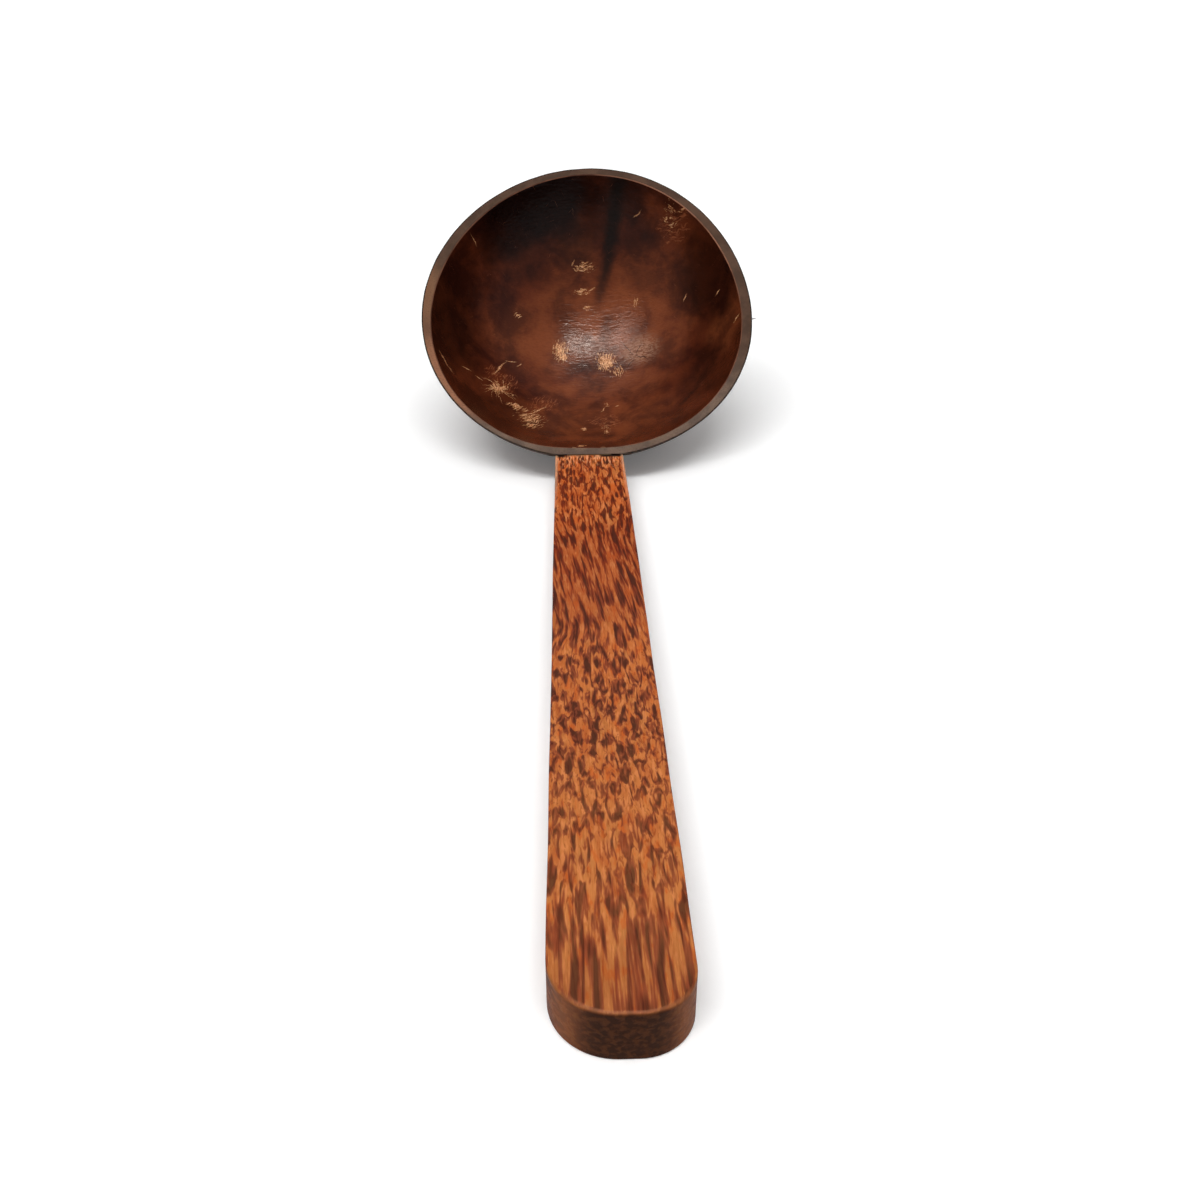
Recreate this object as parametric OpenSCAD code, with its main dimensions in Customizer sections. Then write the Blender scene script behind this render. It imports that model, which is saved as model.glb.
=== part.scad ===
// Rice serving spoon: a cap of coconut shell, glued and pinned to a flat palm wood handle.
// X is across the handle, Y runs from the butt of the handle to the bowl, Z is up.
// The spoon lies on a table at Z = 0, on the underside of its handle and the bottom of its bowl.

/* [Shell bowl] */
// Outside diameter of the shell at its rim
rim_d = 95; // [80:1:110]
// Outside depth of the shell, from the plane of the rim to the pole
shell_depth = 34; // [31:0.5:38]
// Thickness of the shell
shell_wall = 2.4; // [2:0.1:4]
// Length of the nut from pole to pole over its width
nut_stretch = 1.04; // [1:0.01:1.1]
// Tilt of the rim against the table
rim_tilt = 36.5; // [32:0.5:40]
// Worn edge on both sides of the rim
rim_ease = 0.35; // [0.1:0.05:0.7]

/* [Handle] */
// Length of the handle's top, from the butt to the rim
handle_len = 189; // [140:1:240]
// Width of the handle at its butt
butt_w = 23.5; // [22:0.1:32]
// Width of the handle at the rim
neck_w = 18.4; // [16:0.1:21]
// Thickness of the handle at its butt
butt_t = 10.4; // [7:0.1:14]
// Radius of the butt's two corners, seen from above
butt_corner_r = 10; // [5:0.1:10.5]
// Rounding of the edges at the butt
butt_edge_r = 1.8; // [0.8:0.1:2.5]
// Rounding of the edges at the neck
neck_edge_r = 0.8; // [0.4:0.1:1.2]
// Step from the rim down to the top of the handle
rim_step = 0.3; // [0.1:0.1:1]
// Thickness of the blunt toe of the handle, under the shell
toe_t = 1.2; // [0.8:0.1:2]

/* [Joint] */
// How far in from the rim the middle of the filed seat lies, along the shell
seat_in = 4; // [3:0.1:6]
// How deep the seat is filed into the shell
seat_file = 0.9; // [0.7:0.05:1.2]
// Thickness of the glue
glue_t = 0.3; // [0.15:0.05:0.5]
// How far the glue stays inside the edges of the seat
glue_inset = 1.6; // [1:0.1:3]
// Diameter of a pin's shank
pin_d = 1.5; // [1:0.1:2]
// Diameter of a pin's head
pin_head_d = 3.2; // [2.4:0.1:4]
// Height of a pin's domed head
pin_head_h = 0.9; // [0.5:0.1:1.4]
// How deep a pin's head is set into the shell
pin_set = 0.4; // [0.2:0.05:0.7]
// Distance between the two pins
pin_gap = 8; // [6:0.1:9]
// Distance of the pins from the rim, along the seat
pin_in = 5.5; // [4.5:0.1:7]
// Wood left between a pin's point and the underside of the handle
pin_cover = 1.2; // [0.8:0.1:2]
// Clearance round a pin
pin_clear = 0.05; // [0.02:0.01:0.15]

/* [Hidden] */
$fn = 96;
// Steps along the shell's profile
profile_steps = 40;
// Steps round a rounded edge of the handle, and round its corners
edge_steps = 4;
corner_steps = 12;
// A length that reaches past everything
far = 400;

// The nut's outside is an ellipsoid: half its width and half its length
rim_r = rim_d / 2;
nut_a = (pow(rim_r, 2) + pow(shell_depth / nut_stretch, 2)) * nut_stretch / (2 * shell_depth);
nut_c = nut_a * nut_stretch;
// The nut's centre lies this far above the plane of the rim
nut_up = nut_c - shell_depth;
hollow_a = nut_a - shell_wall;
hollow_c = nut_c - shell_wall;

// Height of the rim's centre when the tilted shell touches the table, with its Y at 0 for now
rim_z = norm([nut_a * sin(rim_tilt), nut_c * cos(rim_tilt)]) - nut_up * cos(rim_tilt);
// The shell's furthest point from the handle
shell_far_y = norm([nut_a * cos(rim_tilt), nut_c * sin(rim_tilt)]) - nut_up * sin(rim_tilt);

// Turns [y, z] by an angle
function turn(p, angle) = [p[0] * cos(angle) - p[1] * sin(angle), p[0] * sin(angle) + p[1] * cos(angle)];
// [y, z] in the shell's own frame, put on the table
function on_table(p) = turn(p, rim_tilt) + [0, rim_z];

// The seat is filed flat, square to the shell's own surface at its middle
rim_t = acos(nut_up / nut_c);
seat_t = rim_t - seat_in / nut_a * 180 / PI;
seat_out = [-sin(seat_t) / nut_a, -cos(seat_t) / nut_c];
seat_normal = turn(seat_out, rim_tilt) / norm(seat_out);
seat_slope = atan2(-seat_normal[0], -seat_normal[1]);
seat_mid = on_table([-nut_a * sin(seat_t), nut_up - nut_c * cos(seat_t)]) - seat_file * seat_normal;
// Radius of the flat that the file leaves
seat_r = sqrt(2 * nut_a * seat_file);

// The filed edge of the rim, where the plane of the seat meets the plane of the rim
rim_dir = turn([1, 0], rim_tilt);
filed_edge = [0, rim_z] + rim_dir * (((seat_mid - [0, rim_z]) * seat_normal) / (rim_dir * seat_normal));
// The same edge in the seat's own frame, along the slope
edge_v = (filed_edge - seat_mid) * [cos(seat_slope), -sin(seat_slope)];

// The handle's top falls from the butt to just under the filed edge, and its underside lies on the table
butt_y = filed_edge[0] - handle_len;
neck_t = filed_edge[1] - rim_step;
function top_z(y) = butt_t + (neck_t - butt_t) * (y - butt_y) / handle_len;
function half_w(y) = (butt_w + (neck_w - butt_w) * (y - butt_y) / handle_len) / 2;
// Corner radius of the toe, seen from above
toe_corner_r = 2 * neck_edge_r;
// The toe ends where the sloping end of the handle is toe_t thick
toe_y = seat_mid[0] + (seat_mid[1] - glue_t / cos(seat_slope) - toe_t) / tan(seat_slope);

// Pins: the place in the seat's frame, and the depth of wood under it, square to the seat
pin_v = edge_v + pin_in;
pin_wood = (seat_mid[1] - pin_v * sin(seat_slope)) / cos(seat_slope);
pin_point = pin_wood - pin_cover / cos(seat_slope);
// Height of the shell's inside over the seat, along a pin
pin_from = turn(seat_mid + turn([pin_v, 0], -seat_slope) - [0, rim_z], -rim_tilt) - [0, nut_up];
pin_dir = turn([0, 1], -seat_slope - rim_tilt);
pin_q = [pin_gap / 2 / hollow_a, pin_from[0] / hollow_a, pin_from[1] / hollow_c];
pin_w = [0, pin_dir[0] / hollow_a, pin_dir[1] / hollow_c];
pin_qw = pin_q * pin_w;
pin_ww = pin_w * pin_w;
pin_wall = (-pin_qw - sqrt(pow(pin_qw, 2) - pin_ww * (pin_q * pin_q - 1))) / pin_ww;
pin_head_z = pin_wall - pin_set;

// Puts the part's middle over the origin
centre_y = -(butt_y + shell_far_y) / 2;

module in_shell_frame() {
    translate([0, centre_y, rim_z])
        rotate([rim_tilt, 0, 0])
            children();
}

module in_seat_frame() {
    translate([0, centre_y + seat_mid[0], seat_mid[1]])
        rotate([-seat_slope, 0, 0])
            children();
}

// Everything on the handle's side of a plane that is parallel to the seat
module below_seat(z) {
    in_seat_frame()
        translate([-far / 2, -far / 2, z - far])
            cube(far);
}

// A cap of an ellipsoid that is cut at the rim, with its edge cut at 45 degrees:
// inwards with a positive ease, outwards with a negative one
module cap(a, c, ease) {
    edge_t = acos((nut_up + abs(ease)) / c);
    rim_at = a * sin(acos(nut_up / c));
    arc = [for (i = [0:profile_steps]) edge_t * i / profile_steps];
    rotate_extrude()
        polygon(concat(
            [[0, 0]],
            [for (t = arc) [a * sin(t), nut_up - c * cos(t)]],
            [[rim_at - ease, 0]]
        ));
}

module shell_bowl() {
    color("#432619")
        difference() {
            in_shell_frame()
                difference() {
                    cap(nut_a, nut_c, rim_ease);
                    cap(hollow_a, hollow_c, -rim_ease);
                }
            below_seat(0);
            pin_holes();
        }
}

// The bar's four corners in plan, counterclockwise: middle, first angle, corner radius and edge radius
function bar_corners() =
    let (
        butt_ring_y = butt_y + butt_corner_r,
        butt_x = half_w(butt_ring_y) - butt_corner_r,
        toe_ring_y = toe_y - toe_corner_r,
        toe_x = half_w(toe_ring_y) - toe_corner_r
    )
    [
        [[butt_x, butt_ring_y], -90, butt_corner_r, butt_edge_r],
        [[toe_x, toe_ring_y], 0, toe_corner_r, neck_edge_r],
        [[-toe_x, toe_ring_y], 90, toe_corner_r, neck_edge_r],
        [[-butt_x, butt_ring_y], 180, butt_corner_r, butt_edge_r]
    ];

// One level of the bar, part of the way up its rounded edge: at 0 degrees on the face, at 90 on the side
function bar_level(angle, on_top) = [
    for (corner = bar_corners())
        for (i = [0:corner_steps])
            let (
                turned = corner[1] + 90 * i / corner_steps,
                r = corner[2] - corner[3] * (1 - sin(angle)),
                at = corner[0] + r * [cos(turned), sin(turned)],
                rise = corner[3] * (1 - cos(angle))
            )
            [at[0], at[1], on_top ? top_z(at[1]) - rise : rise]
];

// A tapering bar with rounded edges, built up in levels from its underside to its top
module bar() {
    rise = [for (i = [0:edge_steps]) 90 * i / edge_steps];
    fall = [for (i = [0:edge_steps]) 90 - 90 * i / edge_steps];
    levels = concat([for (t = rise) bar_level(t, false)], [for (t = fall) bar_level(t, true)]);
    n = len(levels[0]);
    last = n * (len(levels) - 1);
    sides = [
        for (level = [0:len(levels) - 2])
            for (i = [0:n - 1])
                let (a = level * n + i, b = level * n + (i + 1) % n)
                each [[a, a + n, b + n], [a, b + n, b]]
    ];
    underside = [for (i = [1:n - 2]) [0, i, i + 1]];
    top = [for (i = [1:n - 2]) [last, last + i + 1, last + i]];
    translate([0, centre_y, 0])
        polyhedron([for (level = levels) each level], concat(underside, sides, top));
}

module handle() {
    color("#b5652f")
        difference() {
            intersection() {
                bar();
                below_seat(-glue_t);
            }
            pin_holes();
        }
}

// A thin pad on the filed flat, with no glue at the handle's two corners
module glue_bed() {
    pad_w = neck_w - 4 * glue_inset;
    pad_start = edge_v + glue_inset / 2;
    pad_r = seat_r - glue_inset;
    color("#d8b483")
        difference() {
            in_seat_frame()
                intersection() {
                    translate([0, 0, -glue_t])
                        cylinder(h = glue_t, r = pad_r);
                    translate([-pad_w / 2, pad_start, -glue_t])
                        cube([pad_w, 2 * pad_r, glue_t]);
                }
            pin_holes();
        }
}

module at_pin(side) {
    in_seat_frame()
        translate([side * pin_gap / 2, pin_v, 0])
            children();
}

module pin_holes() {
    for (side = [-1, 1])
        at_pin(side) {
            translate([0, 0, -pin_point - pin_clear])
                cylinder(h = pin_point + pin_wall + pin_clear, d = pin_d + 2 * pin_clear);
            translate([0, 0, pin_head_z])
                cylinder(h = pin_head_h + pin_set, d = pin_head_d + 2 * pin_clear);
        }
}

// A small brass nail: domed head, straight shank and a point
module pin(side) {
    dome_r = (pow(pin_head_d / 2, 2) + pow(pin_head_h, 2)) / (2 * pin_head_h);
    dome_t = asin(pin_head_d / 2 / dome_r);
    dome_steps = 10;
    dome = [for (i = [0:dome_steps]) dome_t * (1 - i / dome_steps)];
    color("#c9a24b")
        at_pin(side)
            rotate_extrude()
                polygon(concat(
                    [[0, -pin_point], [pin_d / 2, pin_d - pin_point], [pin_d / 2, pin_head_z]],
                    [for (t = dome) [dome_r * sin(t), pin_head_z + pin_head_h - dome_r + dome_r * cos(t)]]
                ));
}

module left_pin() {
    pin(-1);
}

module right_pin() {
    pin(1);
}

shell_bowl();
handle();
glue_bed();
left_pin();
right_pin();
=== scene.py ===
# %% [markdown]
# # Rice serving spoon
#
# A ladle for rice: the cap of a coconut shell, sawn off, scraped and polished, then glued and pinned to a
# flat bar of palm wood. The CAD frame brings the exact solids. Here the shell and the bar get their natural
# shape, and every piece gets its finish.

import math

import bmesh
import bpy
from mathutils import Matrix, Vector, noise


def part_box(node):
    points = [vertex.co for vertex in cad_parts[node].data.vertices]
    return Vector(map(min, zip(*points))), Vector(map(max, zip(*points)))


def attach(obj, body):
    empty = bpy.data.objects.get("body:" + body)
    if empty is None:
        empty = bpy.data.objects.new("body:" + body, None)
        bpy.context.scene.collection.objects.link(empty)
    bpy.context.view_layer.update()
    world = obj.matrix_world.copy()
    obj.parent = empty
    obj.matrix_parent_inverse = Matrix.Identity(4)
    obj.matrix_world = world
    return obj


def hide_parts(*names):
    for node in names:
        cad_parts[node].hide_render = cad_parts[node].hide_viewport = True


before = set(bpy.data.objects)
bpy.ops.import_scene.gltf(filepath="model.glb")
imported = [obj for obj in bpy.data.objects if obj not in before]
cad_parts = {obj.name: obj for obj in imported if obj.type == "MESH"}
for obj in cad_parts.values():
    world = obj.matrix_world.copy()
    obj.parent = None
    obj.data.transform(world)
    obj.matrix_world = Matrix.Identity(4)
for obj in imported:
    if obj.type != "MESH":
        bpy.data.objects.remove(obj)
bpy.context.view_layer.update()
MM = 0.001

# %% [markdown]
# ## The camera
#
# The photo looks along the handle from its butt, down at the bowl. A camera placed by eye would come close,
# but the rim would not lie on its own outline. So this one was fitted to the outline of the rim and to both
# edges of the handle, and the spoon fills the picture as it does there.

# %% Camera
CAMERA_AT = Vector((-7.9, -258.8, 161.1)) * MM
CAMERA_YAW = math.radians(1.97)
CAMERA_PITCH = math.radians(32.29)
CAMERA_LENS = 38.4
CAMERA_SENSOR = 36
CAMERA_NEAR = 10 * MM

camera = bpy.data.objects.new("camera", bpy.data.cameras.new("camera"))
camera.data.lens = CAMERA_LENS
camera.data.sensor_width = CAMERA_SENSOR
camera.data.clip_start = CAMERA_NEAR
camera.location = CAMERA_AT
camera.rotation_euler = (math.pi / 2 - CAMERA_PITCH, 0, -CAMERA_YAW)
bpy.context.scene.collection.objects.link(camera)
bpy.context.scene.camera = camera
bpy.context.scene.view_settings.view_transform = "Standard"
print("camera looks down by", round(math.degrees(CAMERA_PITCH), 1), "degrees")

# %% [markdown]
# ## Writing materials
#
# Each material is a small net of nodes. A net can be drawn by hand in the shader editor, but in a script it
# can be read from top to bottom. These helpers keep it readable: a number or a socket can go into any
# input, and colours are written as they look, in 0 to 255.


# %% Helpers for materials
def tint(r, g, b):
    """A colour as it looks on a screen, as the linear colour that a shader takes."""
    return tuple(c / 3294.6 if c <= 10.3 else ((c / 255 + 0.055) / 1.055) ** 2.4 for c in (r, g, b)) + (1.0,)


class Net:
    """The nodes of one material, with its shader at .surface."""

    def __init__(self, name):
        self.material = bpy.data.materials.new(name)
        self.material.use_nodes = True
        self.tree = self.material.node_tree
        self.surface = self.tree.nodes["Principled BSDF"]

    def put(self, socket, value):
        """Links a socket to an input, or sets a plain value there."""
        if isinstance(value, bpy.types.NodeSocket):
            self.tree.links.new(value, socket)
        else:
            socket.default_value = value

    def node(self, kind, inputs, out=0, **settings):
        """Adds one node and gives back one of its outputs."""
        made = self.tree.nodes.new("ShaderNode" + kind)
        for key, value in settings.items():
            setattr(made, key, value)
        for key, value in inputs.items():
            self.put(made.inputs[key], value)
        return made.outputs[out]

    def math(self, operation, *values):
        return self.node("Math", dict(enumerate(values)), operation=operation)

    def soft(self, value, start, end, low=0.0, high=1.0):
        """Goes smoothly from low to high while value goes from start to end, and stays there."""
        steps = {"Value": value, "From Min": start, "From Max": end, "To Min": low, "To Max": high}
        return self.node("MapRange", steps, interpolation_type="SMOOTHSTEP", clamp=False)

    def even(self, value, start, end, low=0.0, high=1.0):
        """Goes evenly from low to high while value goes from start to end."""
        steps = {"Value": value, "From Min": start, "From Max": end, "To Min": low, "To Max": high}
        return self.node("MapRange", steps)

    def mix(self, share, a, b):
        """Colour a, with this share of colour b."""
        return self.node("Mix", {0: share, 6: a, 7: b}, out=2, data_type="RGBA")

    def frame(self, at=(0, 0, 0), turn=(0, 0, 0), scale=(1, 1, 1), vector=None):
        """A place seen from a frame of its own, such as the tilted shell's."""
        if vector is None:
            vector = self.node("TexCoord", {}, out="Object")
        steps = {"Vector": vector, "Location": at, "Rotation": turn, "Scale": scale}
        return self.node("Mapping", steps, vector_type="TEXTURE")

    def noise(self, vector, scale, detail=3.0, roughness=0.55, distortion=0.0, out=0):
        steps = {"Vector": vector, "Scale": scale, "Detail": detail}
        steps.update({"Roughness": roughness, "Distortion": distortion})
        return self.node("TexNoise", steps, out=out)

    def vector(self, operation, *values, out=0):
        return self.node("VectorMath", dict(enumerate(values)), out=out, operation=operation)

    def split(self, vector):
        """The three parts of a vector."""
        made = self.tree.nodes.new("ShaderNodeSeparateXYZ")
        self.put(made.inputs[0], vector)
        return made.outputs

    def bump(self, height, distance, strength):
        return self.node("Bump", {"Height": height, "Distance": distance, "Strength": strength})

    def finish(self, **inputs):
        """Sets the shader's inputs, with _ for each space in a name, and gives back the material."""
        for key, value in inputs.items():
            self.put(self.surface.inputs[key.replace("_", " ")], value)
        return self.material


print("a rust brown of 128, 66, 36 is, for a shader:", [round(c, 3) for c in tint(128, 66, 36)])

# %% [markdown]
# ## The table
#
# The spoon lies on a white table. A plain white plane would throw too much light back up under the bowl.
# This one is white to the eye but throws back less than half, and it glows a little where it is seen, so
# that the shadows on it stay pale.

# %% Table
FLOOR_SIZE = 8.0
FLOOR_DROP = 0.1 * MM
FLOOR_WHITE = 0.97
FLOOR_THROWS = 0.45
FLOOR_GLOW = 0.1


def seen_directly(nodes, links):
    """1 for what the eye sees, or sees in a mirror or through glass, and 0 for light that is thrown on."""
    path = nodes.new("ShaderNodeLightPath")
    seen = path.outputs["Is Camera Ray"]
    for kind in ("Is Glossy Ray", "Is Transmission Ray"):
        either = nodes.new("ShaderNodeMath")
        either.operation = "MAXIMUM"
        links.new(seen, either.inputs[0])
        links.new(path.outputs[kind], either.inputs[1])
        seen = either.outputs[0]
    return seen


floor_mesh = bpy.data.meshes.new("table")
bm = bmesh.new()
bmesh.ops.create_grid(bm, x_segments=1, y_segments=1, size=FLOOR_SIZE / 2)
bmesh.ops.translate(bm, verts=bm.verts, vec=(0, 0, -FLOOR_DROP))
bm.to_mesh(floor_mesh)
bm.free()
floor = bpy.data.objects.new("table", floor_mesh)
bpy.context.scene.collection.objects.link(floor)
net = Net("white table")
seen = seen_directly(net.tree.nodes, net.tree.links)
net.finish(
    Base_Color=net.mix(seen, (FLOOR_THROWS,) * 3 + (1,), (FLOOR_WHITE,) * 3 + (1,)),
    Roughness=1.0,
    Specular_IOR_Level=0.0,
    Emission_Color=(1, 1, 1, 1),
    Emission_Strength=net.math("MULTIPLY", seen, FLOOR_GLOW),
)
floor_mesh.materials.append(net.material)
print("table:", FLOOR_SIZE, "m wide")

# %% [markdown]
# ## The lamps
#
# The light in the photo comes from overhead and is longer than it is wide, so shadows are soft sideways and
# end close to the spoon. One area lamp could do that, but it would also be mirrored in the oiled bowl. Here
# a row of far lamps gives light and shadow and isn't mirrored, and a few more are only mirrored. A hollow
# bowl turns what it mirrors about: a lamp on the left shines on the right.

# %% Lamps
STRIP = (-0.62, 0.28)
STRIP_LAMPS = 9
STRIP_LEANS = -0.44
STRIP_DISC = 10
STRIP_LIGHTS = 2.1
# Each shine: how far it lies sideways and leans, for a height of 1, its disc in degrees, and its strength.
SHINES = (
    (0.2, -0.4, 9, 2.4),
    (0.0, -0.4, 7, 2.1),
    (-0.15, -0.41, 9, 1.1),
    (-0.36, -0.39, 18, 1.8),
    (-0.6, -0.38, 22, 1.4),
    (-0.1, -0.2, 55, 1.3),
)
SHINE_TINT = (1.0, 0.87, 0.77)


def hang_lamp(name, comes_from, disc, strength):
    """A far lamp that shines from one direction, as wide in the sky as its disc in degrees."""
    lamp = bpy.data.objects.new(name, bpy.data.lights.new(name, "SUN"))
    lamp.data.energy = strength
    lamp.data.angle = math.radians(disc)
    lamp.rotation_mode = "QUATERNION"
    lamp.rotation_quaternion = comes_from.to_track_quat("Z", "Y")
    bpy.context.scene.collection.objects.link(lamp)
    return lamp


strip_level = 0.0
for i in range(STRIP_LAMPS):
    sideways = STRIP[0] + (STRIP[1] - STRIP[0]) * i / (STRIP_LAMPS - 1)
    comes_from = Vector((sideways, STRIP_LEANS, 1.0))
    lamp = hang_lamp("strip", comes_from, STRIP_DISC, STRIP_LIGHTS / STRIP_LAMPS)
    lamp.visible_glossy = False
    strip_level += lamp.data.energy * comes_from.normalized().z / math.pi
for sideways, leans, disc, strength in SHINES:
    shine = hang_lamp("shine", Vector((sideways, leans, 1.0)), disc, strength)
    shine.data.color = SHINE_TINT
    shine.visible_diffuse = False
print("light of the strip on the table:", round(strip_level, 2))

# %% [markdown]
# ## The sky
#
# The rest of the light comes from all round, more of it from above than from the sides, which keeps upright
# sides dark. A picture of a room could give that light, but a smooth sky is enough: dim at the horizon,
# bright overhead. To the eye it is plain white, so that the ground behind the spoon has one even tone.

# %% Sky
SKY_LOW = 0.12
SKY_HIGH = 0.66
# A level table gets this share of the rise from low to high.
SKY_SHARE = 0.7

world = bpy.data.worlds.new("soft sky")
bpy.context.scene.world = world
world.use_nodes = True
nodes, links = world.node_tree.nodes, world.node_tree.links
sky = nodes["Background"]
sky.inputs["Color"].default_value = (1, 1, 1, 1)
towards = nodes.new("ShaderNodeSeparateXYZ")
links.new(nodes.new("ShaderNodeTexCoord").outputs["Generated"], towards.inputs[0])
bright = nodes.new("ShaderNodeMapRange")
bright.interpolation_type = "SMOOTHSTEP"
bright.inputs["To Min"].default_value = SKY_LOW
bright.inputs["To Max"].default_value = SKY_HIGH
links.new(towards.outputs["Z"], bright.inputs["Value"])
power = nodes.new("ShaderNodeMix")
links.new(seen_directly(nodes, links), power.inputs["Factor"])
links.new(bright.outputs[0], power.inputs["A"])
power.inputs["B"].default_value = 1.0
links.new(power.outputs[0], sky.inputs["Strength"])
print("light of the sky on the table:", round(SKY_LOW + SKY_SHARE * (SKY_HIGH - SKY_LOW), 2))

# %% [markdown]
# ## The shell's own frame
#
# A coconut is nearly an ellipsoid. The bowl is the cap that is left when it is sawn at a plane, and that
# plane, the rim, leans towards the handle. The new shell could be drawn in its tilted place, but its sums
# are simpler upright. So it gets a frame of its own: the CAD box gives the place, and the sizes are those
# of the nut.

# %% The nut and its frame
RIM_R = 47.5 * MM
SHELL_DEPTH = 34 * MM
SHELL_WALL = 2.4 * MM
NUT_STRETCH = 1.04
RIM_TILT = math.radians(36.5)

nut_a = (RIM_R**2 + (SHELL_DEPTH / NUT_STRETCH) ** 2) * NUT_STRETCH / (2 * SHELL_DEPTH)
nut_c = nut_a * NUT_STRETCH
nut_up = nut_c - SHELL_DEPTH
_, shell_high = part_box("shell_bowl")
reach = math.hypot(nut_a * math.cos(RIM_TILT), nut_c * math.sin(RIM_TILT)) - nut_up * math.sin(RIM_TILT)
rim_y = shell_high.y - reach
rim_z = math.hypot(nut_a * math.sin(RIM_TILT), nut_c * math.cos(RIM_TILT)) - nut_up * math.cos(RIM_TILT)
shell_frame = Matrix.Translation((0, rim_y, rim_z)) @ Matrix.Rotation(RIM_TILT, 4, "X")
print("rim's centre, mm:", round(rim_y / MM, 2), round(rim_z / MM, 2))

# %% [markdown]
# ## The filed seat
#
# A flat bar can't be glued to a round shell, so a small flat is filed on the shell's outside, just below
# the rim. Its middle and direction could be measured on the solids, but they follow from the nut. They are
# worked out once, because the bowl and the handle both end on this flat.

# %% The filed seat
SEAT_IN = 4 * MM
SEAT_FILE = 0.9 * MM

seat_t = math.acos(nut_up / nut_c) - SEAT_IN / nut_a
seat_out = Vector((0, -math.sin(seat_t) / nut_a, -math.cos(seat_t) / nut_c)).normalized()
seat_up = -(shell_frame.to_3x3() @ seat_out)
seat_mid = shell_frame @ Vector((0, -nut_a * math.sin(seat_t), nut_up - nut_c * math.cos(seat_t)))
seat_mid = seat_mid + SEAT_FILE * seat_up
print("seat's middle, mm:", [round(v / MM, 2) for v in seat_mid])

# %% [markdown]
# ## The bowl's wall
#
# The shell is one wall of even thickness, sawn flat at the rim. Half a sphere with a thickness could stand
# in for it, but a nut is longer than it is wide and this cap is shallow. So the profile of the wall is
# drawn once, spun into a bowl, and the two corners of its sawn rim are worn round. A point on the rim parts
# the dark skin from the rest.

# %% Spin the wall
RIM_EASE = 0.3 * MM
RIM_EASE_STEPS = 3
SKIN = 0.48 * MM
SPIN_STEPS = 256
ARC_STEPS = 52
TINY = 0.001 * MM

hollow_a, hollow_c = nut_a - SHELL_WALL, nut_c - SHELL_WALL
outer_t, inner_t = math.acos(nut_up / nut_c), math.acos(nut_up / hollow_c)
hollow_r = hollow_a * math.sin(inner_t)


def wall_curve(a, c, last):
    """Points of an ellipse from the pole of the nut up to the rim."""
    steps = [last * i / ARC_STEPS for i in range(ARC_STEPS + 1)]
    return [(a * math.sin(t), nut_up - c * math.cos(t)) for t in steps]


def rim_edges(bm, radius):
    """The edges of one corner of the rim."""
    ring = {v for v in bm.verts if abs(v.co.z) < TINY and abs(v.co.xy.length - radius) < TINY}
    return [e for e in bm.edges if ring.issuperset(e.verts)]


bm = bmesh.new()
outer = wall_curve(nut_a, nut_c, outer_t)
inner = wall_curve(hollow_a, hollow_c, inner_t)
profile = outer + [(RIM_R - SKIN, 0)] + inner[::-1]
line = [bm.verts.new((r, 0, z)) for r, z in profile]
edges = [bm.edges.new(pair) for pair in zip(line, line[1:])]
bmesh.ops.spin(bm, geom=line + edges, axis=(0, 0, 1), angle=2 * math.pi, steps=SPIN_STEPS, use_merge=True)
bmesh.ops.remove_doubles(bm, verts=bm.verts, dist=TINY)
bmesh.ops.recalc_face_normals(bm, faces=bm.faces)
bmesh.ops.bevel(
    bm,
    geom=rim_edges(bm, RIM_R) + rim_edges(bm, hollow_r),
    offset=RIM_EASE,
    segments=RIM_EASE_STEPS,
    profile=0.5,
    affect="EDGES",
    material=-1,
)
bm.normal_update()
print("wall:", len(profile), "points in its profile,", len(bm.faces), "faces")

# %% [markdown]
# ## Which face gets which finish
#
# The shell shows five finishes: the oiled inside, the sawn rim, the polished outside, the inner edge with
# its painted highlight, and the dark skin, which is a thin line round the rim. They could be painted on one
# material, but each lies on faces of its own, so the faces are told apart by where they lie and where they
# point.

# %% Share out the finishes
INSIDE, RIM, OUTSIDE, INNER_EDGE, DARK_SKIN = range(5)
RIM_BAND = 1.2 * RIM_EASE
POINTS_UP = 0.2
LEANS_IN = 0.4
POLE_UP = 0.9

for face in bm.faces:
    middle = face.calc_center_median()
    outward = face.normal.xy.dot(middle.xy.normalized())
    on_rim = middle.z > -RIM_BAND and face.normal.z > POINTS_UP
    if on_rim and middle.xy.length > RIM_R - SKIN:
        face.material_index = DARK_SKIN
    elif on_rim:
        face.material_index = RIM if abs(outward) < LEANS_IN else INNER_EDGE
    else:
        face.material_index = INSIDE if outward < 0 or face.normal.z > POLE_UP else OUTSIDE
print("faces of each finish:", [sum(f.material_index == i for f in bm.faces) for i in range(5)])

# %% [markdown]
# ## Out of round
#
# A real nut is not round: it has three soft ridges and is a little longer one way, and its hollow follows
# the outside only roughly. Noise could bend it anyhow. A few waves round the rim, each with a height in mm
# and the bearing of its top in degrees, can be fitted to the outline in the photo. Over the handle a lip of
# wall is left inside. Scraping leaves shallow dents, and the saw a slight wave.

# %% Push the nut out of round
OUTSIDE_WAVES = ((2, 0.82, 80), (3, 0.58, 83), (4, 0.15, -23))
HOLLOW_WAVES = ((2, 1.28, 78), (3, 0.75, 86), (4, 0.15, -23))
OUTSIDE_MOVED = Vector((0.75, 0, 0)) * MM
HOLLOW_MOVED = Vector((0.55, -0.35, 0)) * MM
GROWN = 0.2 * MM
LIP = 1.2 * MM
LIP_AT, LIP_HALF = 268, 15
DENT = 0.1 * MM
DENT_SIZE = 9 * MM
SAWN_BAND = 0.9 * RIM_EASE
SAW_WAVE = 0.07 * MM
SAW_WAVE_SIZE = 4 * MM


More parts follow.
